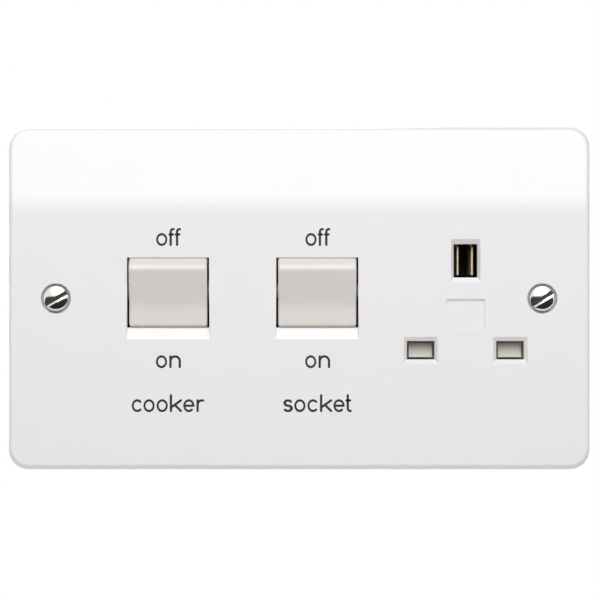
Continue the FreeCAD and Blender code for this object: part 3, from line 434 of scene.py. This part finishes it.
def draw_letter(pen, letter, x, z, tall, stem):
    """Draws one small letter on its base line and gives back its width."""
    h = pen.half
    mid = z + tall / 2
    rz = tall / 2 - h
    top = z + tall - h
    base = z + h
    rx = BOWL * rz
    wide = BOWL * tall
    if letter == "o":
        pen.arc(x + wide / 2, mid, rx, rz, 0, 360)
        return wide
    if letter == "c":
        pen.arc(x + wide / 2, mid, rx, rz, 48, 312)
        return 0.94 * wide
    if letter == "e":
        centre = x + wide / 2
        pen.arc(centre, mid, rx, rz, 0, 310)
        pen.line(centre - rx, mid, centre + rx, mid)
        return wide
    if letter == "k":
        left = x + h
        right = x + 0.86 * tall
        pen.line(left, base, left, z + stem - h)
        pen.line(left, z + 0.36 * tall, right, top)
        pen.line(left + 0.30 * tall, z + 0.56 * tall, right, base)
        return right + h - x
    if letter == "r":
        left = x + h
        r = 0.34 * tall
        pen.line(left, base, left, top)
        pen.arc(left + r, top - r, r, r, 180, 75)
        return r * 1.26 + 2 * h
    if letter == "n":
        left = x + h
        r = 0.36 * tall
        pen.line(left, base, left, top)
        pen.arc(left + r, top - r, r, r, 180, 0, round_ends=False)
        pen.line(left + 2 * r, top - r, left + 2 * r, base)
        return 2 * (r + h)
    if letter == "f":
        centre = x + 1.5 * h
        r = 0.19 * tall
        pen.line(centre, base, centre, z + stem - h - r)
        pen.arc(centre + r, z + stem - h - r, r, r, 180, 80)
        pen.line(centre - h, top - 0.02 * tall, centre + 1.9 * h, top - 0.02 * tall)
        return 4.6 * h
    if letter == "t":
        centre = x + 1.7 * h
        r = 0.19 * tall
        pen.line(centre, base + r, centre, z + stem - h)
        pen.arc(centre + r, base + r, r, r, 180, 280)
        pen.line(centre - 1.1 * h, top, centre + 2.0 * h, top)
        return 4.6 * h
    if letter == "s":
        r = rz / 2
        across = 1.32 * r
        centre = x + across + h
        pen.arc(centre, mid + r, 0.92 * across, r, 30, 270)
        pen.arc(centre, mid - r, across, r, 90, -150)
        return 2 * (across + h)
    raise ValueError("no drawing for the letter " + letter)


def write_word(name, word, centre_x, base_z, material, sizes):
    """Prints a word on the plate, centred on centre_x."""
    gaps = [gap * MM for gap in GAPS_MM[word]]
    widths = []
    ruler = Pen(0, sizes.stroke, -sizes.ink_film)
    for letter in word:
        widths.append(draw_letter(ruler, letter, 0, 0, sizes.x_height, sizes.stem_height))
    ruler.bm.free()
    x = centre_x - (sum(widths) + sum(gaps)) / 2
    pen = Pen(FRONT_Y + sizes.ink_film / 2, sizes.stroke, -1.5 * sizes.ink_film)
    for letter, width, gap in zip(word, widths, gaps + [0]):
        draw_letter(pen, letter, x, base_z, sizes.x_height, sizes.stem_height)
        x += width + gap
    return placed(name, finished_mesh(name, pen.bm), material, "base")


class UNIT_OT_mouldings(bpy.types.Operator):
    """Gives the plate, rockers, housing, shutter and plungers their moulded finishes"""

    bl_idname = "unit.mouldings"
    bl_label = "Mouldings"

    def execute(self, context):
        tones = context.scene.unit_colours
        # Urea moulding from a polished tool: white, hard, a soft gloss that blurs what it mirrors.
        plate = moulded(
            "white urea moulding", tones.plate, ior=1.55, roughness=0.36, spread=0.04,
            grain_mm=1.2, grain_depth_mm=0.003,
        )
        # Polycarbonate rocker: a little smoother than the plate; its colour, greyer and warmer than the
        # plate's white, is painted shade and painted warm bounce light.
        rocker = moulded(
            "rocker polycarbonate with painted shade", tones.rocker, ior=1.585, roughness=0.30, spread=0.04,
            grain_mm=1.0, grain_depth_mm=0.002,
        )
        # Glass-filled nylon: black, matt, with a sandy grain from the fibres.
        housing = moulded(
            "black glass-filled nylon", tones.housing, ior=1.53, roughness=0.55, spread=0.10,
            grain_mm=0.35, grain_depth_mm=0.02, mottle=0.75,
        )
        # Natural nylon: off-white, waxy, between matt and gloss.
        nylon = moulded(
            "natural nylon", tones.nylon, ior=1.53, roughness=0.45, spread=0.05,
            grain_mm=0.6, grain_depth_mm=0.004, mottle=0.94,
        )
        wear("front_plate", plate)
        wear("rear_housing", housing)
        wear("shutter", nylon)
        for name in ROCKER_X:
            wear(name, rocker)
        for name in frame["nodes"]:
            if name.endswith("_plunger"):
                wear(name, nylon)
        return {"FINISHED"}


class UNIT_OT_metalwork(bpy.types.Operator):
    """Gives rails, contacts, terminals, tips and hidden screws their metal finishes"""

    bl_idname = "unit.metalwork"
    bl_label = "Metalwork"

    def execute(self, context):
        tones = context.scene.unit_colours
        # Stamped brass strip: warm, half bright, with streaks from rolling and dull patches.
        brass = metal(
            "rolled brass", tones.brass, tones.tarnish, roughness=0.28, spread=0.10,
            streak_mm=0.5, stretch=(1, 1, 0.12),
        )
        # Fine silver on the tips: pale and soft, dulled a little by the air.
        silver = metal(
            "fine silver", tones.silver, dulled(tones.silver, 0.7), roughness=0.30, spread=0.08,
            streak_mm=0.4, stretch=(1, 1, 1),
        )
        # Clear zinc on steel: cool grey, slightly cloudy.
        zinc = metal(
            "zinc-plated steel", tones.zinc, dulled(tones.zinc, 0.75), roughness=0.30, spread=0.08,
            streak_mm=0.3, stretch=(1, 0.3, 1),
        )
        # Spring brass of the pin contacts, satin: its colour is raised to a near white, a painted
        # reflection of bright surroundings on the contacts that lie deep in the slots.
        wiped = metal(
            "satin spring brass with painted reflection", tones.contact_brass_painted_reflection, tones.brass, roughness=0.58, spread=0.06,
            streak_mm=0.4, stretch=(1, 1, 0.2),
        )
        for name in frame["nodes"]:
            if name.endswith("_pin_contact"):
                wear(name, wiped)
            elif name.endswith("_tips"):
                wear(name, silver)
            elif name in ("housing_screws", "clamp_screws"):
                wear(name, zinc)
            elif name.endswith(("_rail", "_bracket", "_strap", "_bar", "_contact", "_terminal")):
                wear(name, brass)
        return {"FINISHED"}


class UNIT_OT_springs(bpy.types.Operator):
    """Winds the compression springs in place of their solids"""

    bl_idname = "unit.springs"
    bl_label = "Springs"

    def execute(self, context):
        tone = context.scene.unit_colours.wire
        # Drawn wire: dark bright grey with fine lines from the die.
        wire = metal(
            "drawn spring wire", tone, dulled(tone, 0.6), roughness=0.32, spread=0.06,
            streak_mm=0.15, stretch=(1, 1, 1),
        )
        for joint in frame["joints"]:
            for soft in joint.get("deforming_nodes", []):
                self.wind(joint, soft["node"], wire, context.scene.unit_sizes)
        return {"FINISHED"}

    def wind(self, joint, node, wire, sizes):
        """Winds one spring where its solid is, along the joint's axis."""
        travel = max(joint["range_m"], key=abs)
        push = -Vector(joint["axis"]).normalized() * math.copysign(1, travel)
        levels = [push.dot(vert.co) for vert in frame["nodes"][node].data.vertices]
        tall = max(levels) - min(levels)
        low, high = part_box(node)
        middle = (low + high) / 2
        seat = middle + push * (min(levels) - push.dot(middle))
        bm = self.coil(tall, sizes)
        turn = Vector((0, 0, 1)).rotation_difference(push).to_matrix().to_4x4()
        bmesh.ops.transform(bm, matrix=Matrix.Translation(seat) @ turn, verts=bm.verts)
        name = node + "_coil"
        piece = placed(name, finished_mesh(name, bm), wire, joint["parent"])
        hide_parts(node)
        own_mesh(piece)

    def coil(self, tall, sizes):
        """A coil up from the origin, spun from a circle: a closed turn at each end, open ones between."""
        shut = sizes.spring_wire
        room = tall - 3 * shut
        turns = round(room / sizes.spring_pitch)
        bm = bmesh.new()
        start = Matrix.Translation((sizes.spring_radius, 0, shut / 2))
        start @= Matrix.Rotation(math.pi / 2, 4, "X")
        ring = bmesh.ops.create_circle(
            bm, cap_ends=True, radius=shut / 2, segments=WIRE_SIDES, matrix=start
        )
        face = ring["verts"][0].link_faces[0]
        geom = list(face.verts) + list(face.edges) + [face]
        for count, rise in ((1, shut), (turns, room / turns), (1, shut)):
            spun = bmesh.ops.spin(
                bm, geom=geom, cent=(0, 0, 0), axis=(0, 0, 1), dvec=(0, 0, rise / TURN_STEPS),
                angle=2 * math.pi * count, steps=TURN_STEPS * count,
            )
            geom = spun["geom_last"]
        return bm


class UNIT_OT_lettering(bpy.types.Operator):
    """Prints off and on above and below each rocker, and what each rocker works"""

    bl_idname = "unit.lettering"
    bl_label = "Lettering"

    def execute(self, context):
        sizes = context.scene.unit_sizes
        # Pad print: dark grey, thin, a little duller than the plate it lies on.
        ink = moulded(
            "pad-printed ink", context.scene.unit_colours.ink, ior=1.5, roughness=0.45, spread=0.08,
            grain_mm=0.4, grain_depth_mm=0.001, mottle=0.85,
        )
        for name, x in ROCKER_X.items():
            word = LABELS[name]
            write_word(word + "_off_print", "off", x + WORD_SHIFT, OFF_BASE, ink, sizes)
            write_word(word + "_on_print", "on", x + WORD_SHIFT, ON_BASE, ink, sizes)
            write_word(word + "_label_print", word, x, LABEL_BASE, ink, sizes)
        return {"FINISHED"}


def draw_mark(pen, mark, x, z, tall):
    """Draws a terminal's mark in strokes about x, the right way round for someone behind the unit."""
    half = 0.3 * tall
    if mark == "live":
        pen.line(x + half, z + tall, x + half, z)
        pen.line(x + half, z, x - half, z)
    elif mark == "neutral":
        pen.line(x + half, z, x + half, z + tall)
        pen.line(x + half, z + tall, x - half, z)
        pen.line(x - half, z, x - half, z + tall)
    elif mark == "earth":
        pen.line(x, z + tall, x, z + 0.55 * tall)
        for step, share in enumerate((1.6, 1.0, 0.4)):
            level = z + (0.55 - 0.27 * step) * tall
            pen.line(x + share * half, level, x - share * half, level)


class UNIT_OT_back_marks(bpy.types.Operator):
    """Moulds live, neutral and earth marks on the housing, beside each terminal"""

    bl_idname = "unit.back_marks"
    bl_label = "Back marks"

    def execute(self, context):
        sizes = context.scene.unit_sizes
        housing = bpy.data.materials["black glass-filled nylon"]
        pen = Pen(BACK_Y - sizes.mark_rise, sizes.mark_stroke, 2 * sizes.mark_rise)
        for name in frame["nodes"]:
            if name.endswith("_terminal"):
                low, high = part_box(name)
                clear = sizes.mark_height / 2 + sizes.mark_space
                z = low.z - clear if low.z > 0 else high.z + clear
                mark = name.split("_")[1]
                draw_mark(pen, mark, (low.x + high.x) / 2, z - sizes.mark_height / 2, sizes.mark_height)
        marks = finished_mesh("terminal_marks", pen.bm)
        placed("terminal_marks", marks, housing, "base")
        return {"FINISHED"}


class UNIT_OT_screws(bpy.types.Operator):
    """Makes the two fixing screws, with raised slotted heads and a cut thread"""

    bl_idname = "unit.screws"
    bl_label = "Fixing screws"

    def execute(self, context):
        sizes = context.scene.unit_sizes
        nickel = context.scene.unit_colours.nickel
        # Bright nickel on steel: a near mirror, faintly brushed, that takes the tone of what is around it.
        bright = metal(
            "bright nickel plate", nickel, dulled(nickel, 0.8), roughness=0.10, spread=0.04,
            streak_mm=0.3, stretch=(1, 0.3, 1),
        )
        both = bmesh.new()
        for side, turn in SLOT_TURNS.items():
            bm = self.turned_blank(side * FIXING_X, sizes)
            self.cut_slot(bm, side * FIXING_X, turn)
            self.cut_thread(bm, side * FIXING_X, sizes)
            mesh = finished_mesh("fixing_screw", bm)
            both.from_mesh(mesh)
            bpy.data.meshes.remove(mesh)
        screws = finished_mesh("threaded_fixing_screws", both)
        piece = placed("threaded_fixing_screws", screws, bright, "base")
        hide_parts("fixing_screws")
        return {"FINISHED"}

    def turned_blank(self, x, sizes):
        """A lathe-turned screw along Y: raised head, cone, neck and core, spun from its half outline."""
        ball = (HEAD_R ** 2 + HEAD_RISE ** 2) / (2 * HEAD_RISE)
        crown = FRONT_Y - HEAD_RISE
        outline = [(0.0, crown)]
        for step in range(1, DOME_STEPS + 1):
            r = (HEAD_R - HEAD_EDGE) * step / DOME_STEPS
            outline.append((r, crown + ball - math.sqrt(ball ** 2 - r ** 2)))
        core = SHANK_R - sizes.thread_depth
        cone_y = FRONT_Y + HEAD_LAND
        outline += [(HEAD_R, FRONT_Y + HEAD_EDGE), (HEAD_R, cone_y), (NECK_R, cone_y + HEAD_R - NECK_R)]
        outline += [(NECK_R, 0.0), (core, SHANK_R - core), (core, SHANK_END - HEAD_RISE)]
        outline += [(core / 2, SHANK_END), (0.0, SHANK_END)]
        bm = bmesh.new()
        points = [bm.verts.new((x + r, y, 0)) for r, y in outline]
        edges = [bm.edges.new(pair) for pair in zip(points, points[1:])]
        bmesh.ops.spin(
            bm, geom=points + edges, cent=(x, 0, 0), axis=(0, 1, 0), angle=2 * math.pi,
            steps=LATHE_STEPS, use_merge=True,
        )
        bmesh.ops.remove_doubles(bm, verts=bm.verts, dist=SAME_SPOT)
        return bm

    def cut_slot(self, bm, x, turn):
        """Cuts the driver's slot: parts the head along its planes, clears it and closes its walls."""
        across = Vector((-math.sin(turn), 0, math.cos(turn)))
        centre = Vector((x, FRONT_Y, 0))
        floor_y = FRONT_Y - HEAD_RISE + SLOT_DEPTH
        planes = [(centre + across * side * SLOT_W / 2, across) for side in (-1, 1)]
        planes.append((Vector((x, floor_y, 0)), Vector((0, 1, 0))))
        lip_edge = centre - across * (SLOT_W / 2 + LIP_W)
        head_end = FRONT_Y + HEAD_R - NECK_R
        for point, normal in planes + [(lip_edge, across)]:
            faces = [face for face in bm.faces if face.calc_center_median().y < head_end]
            edges = {edge for face in faces for edge in face.edges}
            verts = {vert for face in faces for vert in face.verts}
            bmesh.ops.bisect_plane(
                bm, geom=faces + list(edges) + list(verts), dist=SAME_SPOT, plane_co=point,
                plane_no=normal,
            )
        within = []
        for face in bm.faces:
            middle = face.calc_center_median() - centre
            if middle.y + FRONT_Y < floor_y and abs(middle.dot(across)) < SLOT_W / 2:
                within.append(face)
        bmesh.ops.delete(bm, geom=within, context="FACES")
        self.wear_lip(bm, lip_edge, across)
        rim = [edge for edge in bm.edges if edge.is_boundary]
        self.close_walls(bm, rim, planes)

    def wear_lip(self, bm, edge, across):
        """Leans the strip along the slot's lower side into the slot, as drivers wear it."""
        strip = []
        for vert in bm.verts:
            along = (vert.co - edge).dot(across)
            if 0 < along < LIP_W + NEAR and vert.co.y < FRONT_Y + HEAD_EDGE + NEAR:
                strip.append(vert)
        slope = math.tan(LIP_TILT)
        lean = Matrix.Identity(4)
        lean[1][0], lean[1][2] = slope * across.x, slope * across.z
        bmesh.ops.transform(bm, matrix=lean, space=Matrix.Translation(-edge), verts=strip)

    def close_walls(self, bm, rim, planes):
        """Fills each side wall of the slot, and then its floor."""
        floor_point, floor_normal = planes[2]
        feet = []
        for point, normal in planes[:2]:
            wall = [e for e in rim if all(abs((v.co - point).dot(normal)) < NEAR for v in e.verts)]
            ends = [
                v for v in {v for e in wall for v in e.verts}
                if abs((v.co - floor_point).dot(floor_normal)) < NEAR
            ]
            foot = bm.edges.new(ends)
            bmesh.ops.edgeloop_fill(bm, edges=wall + [foot])
            feet.append(foot)
        arcs = [
            e for e in rim if all(abs((v.co - floor_point).dot(floor_normal)) < NEAR for v in e.verts)
        ]
        bmesh.ops.edgeloop_fill(bm, edges=arcs + feet)

    def cut_thread(self, bm, x, sizes):
        """Winds a three-sided ridge along the core, its foot sunk a little into it."""
        foot = SHANK_R - (1 + THREAD_ROOT) * sizes.thread_depth
        start = 0.5 * sizes.thread_pitch
        section = [(foot, THREAD_LOW), (SHANK_R, 0.5), (foot, THREAD_HIGH)]
        corners = [
            bm.verts.new((x + r, start + share * sizes.thread_pitch, 0)) for r, share in section
        ]
        face = bm.faces.new(corners)
        turns = int((SHANK_END - HEAD_RISE - 2 * start) / sizes.thread_pitch) - 1
        bmesh.ops.spin(
            bm, geom=corners + list(face.edges) + [face], cent=(x, 0, 0), axis=(0, 1, 0),
            dvec=(0, sizes.thread_pitch / TURN_STEPS, 0), angle=2 * math.pi * turns,
            steps=TURN_STEPS * turns,
        )


class UNIT_OT_stage(bpy.types.Operator):
    """Sets up the floor, the soft lights and the camera"""

    bl_idname = "unit.stage"
    bl_label = "Studio"

    def execute(self, context):
        scene = context.scene
        scene.view_settings.view_transform = "Standard"
        self.lay_floor(scene)
        self.light_world(scene)
        self.hang_softbox(scene, "key_softbox", place=(0.03, -0.73, 0.63), size=0.95, power=9.1)
        self.hang_softbox(scene, "back_softbox", place=(-0.20, 0.85, 0.16), size=0.50, power=3.2)
        self.stand_flag(scene)
        self.place_camera(scene)
        return {"FINISHED"}

    def lay_floor(self, scene):
        """A pale floor that the lens sees lifted, to full white at its edges, and other rays as it is."""
        bm = bmesh.new()
        bmesh.ops.create_grid(bm, x_segments=1, y_segments=1, size=FLOOR_HALF)
        bmesh.ops.translate(bm, verts=bm.verts, vec=FLOOR_PLACE)
        mesh = bpy.data.meshes.new("studio_floor")
        bm.to_mesh(mesh)
        bm.free()
        floor = bpy.data.objects.new("studio_floor", mesh)
        scene.collection.objects.link(floor)
        material, tree, place, output = new_material("pale painted board")
        brushed = add_node(
            tree, "ShaderNodeTexNoise", {"Scale": 1 / BRUSH_SIZE, "Detail": 3.0}, {"Vector": place}
        )
        gloss = add_node(
            tree, "ShaderNodeMapRange", {"To Min": 0.6, "To Max": 0.75},
            {"Value": brushed.outputs["Fac"]},
        )
        paint = add_node(
            tree, "ShaderNodeBsdfPrincipled", {"Base Color": rgba(scene.unit_colours.floor)},
            {"Roughness": gloss.outputs["Result"]},
        )
        white = add_node(tree, "ShaderNodeEmission", {"Color": (1, 1, 1, 1), "Strength": 1.0})
        reach = add_node(tree, "ShaderNodeVectorMath", {"operation": "LENGTH"}, {0: place})
        fade = add_node(
            tree, "ShaderNodeMapRange",
            {"From Min": FADE_START, "From Max": FADE_END, "To Min": FLOOR_LIFT, "To Max": 1.0},
            {"Value": reach.outputs["Value"]},
        )
        lift = add_node(
            tree, "ShaderNodeMath", {"operation": "MULTIPLY"},
            {0: self.seen_by_lens(tree).outputs["Value"], 1: fade.outputs["Result"]},
        )
        mix = add_node(
            tree, "ShaderNodeMixShader", None,
            {0: lift.outputs["Value"], 1: paint.outputs["BSDF"], 2: white.outputs["Emission"]},
        )
        tree.links.new(mix.outputs["Shader"], output.inputs["Surface"])
        floor.data.materials.append(material)

    def stand_flag(self, scene):
        """A dark card leaning below the lens, out of its sight, which the bright screws mirror."""
        lean = FLAG_FOOT - FLAG_TOP
        tilt = Matrix.Rotation(math.atan2(lean.z, lean.y), 3, "X")
        bm = bmesh.new()
        bmesh.ops.create_grid(bm, x_segments=1, y_segments=1, size=0.5)
        bmesh.ops.scale(bm, verts=bm.verts, vec=(FLAG_W, lean.length, 1))
        bmesh.ops.rotate(bm, verts=bm.verts, matrix=tilt)
        bmesh.ops.translate(bm, verts=bm.verts, vec=(FLAG_TOP + FLAG_FOOT) / 2)
        mesh = bpy.data.meshes.new("studio_flag")
        bm.to_mesh(mesh)
        bm.free()
        flag = bpy.data.objects.new("studio_flag", mesh)
        scene.collection.objects.link(flag)
        flag.visible_camera = False
        flag.visible_diffuse = False
        flag.visible_shadow = False
        # Black card: matt, with a faint tooth of the paper.
        card = moulded(
            "black card", linear("0C0C0C"), ior=1.4, roughness=0.85, spread=0.05,
            grain_mm=2.0, grain_depth_mm=0.01, mottle=0.9,
        )
        flag.data.materials.append(card)

    def seen_by_lens(self, tree):
        """1 for rays that come from the lens, a mirror or a clear piece, and 0 for the rest."""
        path = add_node(tree, "ShaderNodeLightPath").outputs
        first = add_node(
            tree, "ShaderNodeMath", {"operation": "MAXIMUM"},
            {0: path["Is Camera Ray"], 1: path["Is Glossy Ray"]},
        )
        return add_node(
            tree, "ShaderNodeMath", {"operation": "MAXIMUM"},
            {0: first.outputs["Value"], 1: path["Is Transmission Ray"]},
        )

    def light_world(self, scene):
        """A white surround for the lens and an even, weaker light on the unit."""
        world = bpy.data.worlds.new("studio_surround")
        world.use_nodes = True
        tree = world.node_tree
        tree.nodes.clear()
        shown = add_node(tree, "ShaderNodeBackground", {"Color": (1, 1, 1, 1), "Strength": 1.0})
        light = add_node(tree, "ShaderNodeBackground", {"Color": (1, 1, 1, 1), "Strength": FILL_LIGHT})
        mix = add_node(
            tree, "ShaderNodeMixShader", None,
            {0: self.seen_by_lens(tree).outputs["Value"], 1: light.outputs["Background"],
             2: shown.outputs["Background"]},
        )
        output = add_node(tree, "ShaderNodeOutputWorld")
        tree.links.new(mix.outputs["Shader"], output.inputs["Surface"])
        scene.world = world

    def hang_softbox(self, scene, name, place, size, power):
        """A square softbox aimed at the middle of the unit."""
        lamp = bpy.data.lights.new(name, "AREA")
        lamp.shape = "SQUARE"
        lamp.size = size
        lamp.energy = power
        box = bpy.data.objects.new(name, lamp)
        box.location = place
        box.rotation_euler = (-Vector(place)).to_track_quat("-Z", "Y").to_euler()
        scene.collection.objects.link(box)

    def place_camera(self, scene):
        """A long lens straight in front of the plate, as in the photograph."""
        lens = bpy.data.cameras.new("front_lens")
        lens.sensor_width = 36.0
        lens.lens = FOCAL_PX / PHOTO_PX * lens.sensor_width
        lens.clip_start = 0.05
        camera = bpy.data.objects.new("front_camera", lens)
        camera.location = LENS_PLACE
        camera.rotation_euler = (math.pi / 2, 0, 0)
        scene.collection.objects.link(camera)
        scene.camera = camera


class UNIT_PT_sidebar(bpy.types.Panel):
    """Lists the steps that dress the unit"""

    bl_idname = "UNIT_PT_sidebar"
    bl_label = "Cooker unit"
    bl_space_type = "VIEW_3D"
    bl_region_type = "UI"
    bl_category = "Cooker unit"

    def draw(self, context):
        for step in STEPS:
            self.layout.operator(step.bl_idname)
        for group in (context.scene.unit_sizes, context.scene.unit_colours):
            column = self.layout.column()
            for name in group.bl_rna.properties.keys():
                if name not in ("rna_type", "name"):
                    column.prop(group, name)


STEPS = (
    UNIT_OT_mouldings, UNIT_OT_metalwork, UNIT_OT_springs, UNIT_OT_screws, UNIT_OT_back_marks,
    UNIT_OT_lettering, UNIT_OT_stage,
)
CLASSES = (UnitSizes, UnitColours) + STEPS + (UNIT_PT_sidebar,)


def register():
    for item in CLASSES:
        bpy.utils.register_class(item)
    bpy.types.Scene.unit_sizes = PointerProperty(type=UnitSizes)
    bpy.types.Scene.unit_colours = PointerProperty(type=UnitColours)


def unregister():
    del bpy.types.Scene.unit_colours
    del bpy.types.Scene.unit_sizes
    for item in reversed(CLASSES):
        bpy.utils.unregister_class(item)


def main():
    register()
    bpy.ops.unit.mouldings()
    bpy.ops.unit.metalwork()
    bpy.ops.unit.springs()
    bpy.ops.unit.screws()
    bpy.ops.unit.back_marks()
    bpy.ops.unit.lettering()
    bpy.ops.unit.stage()


if __name__ == "__main__":
    main()
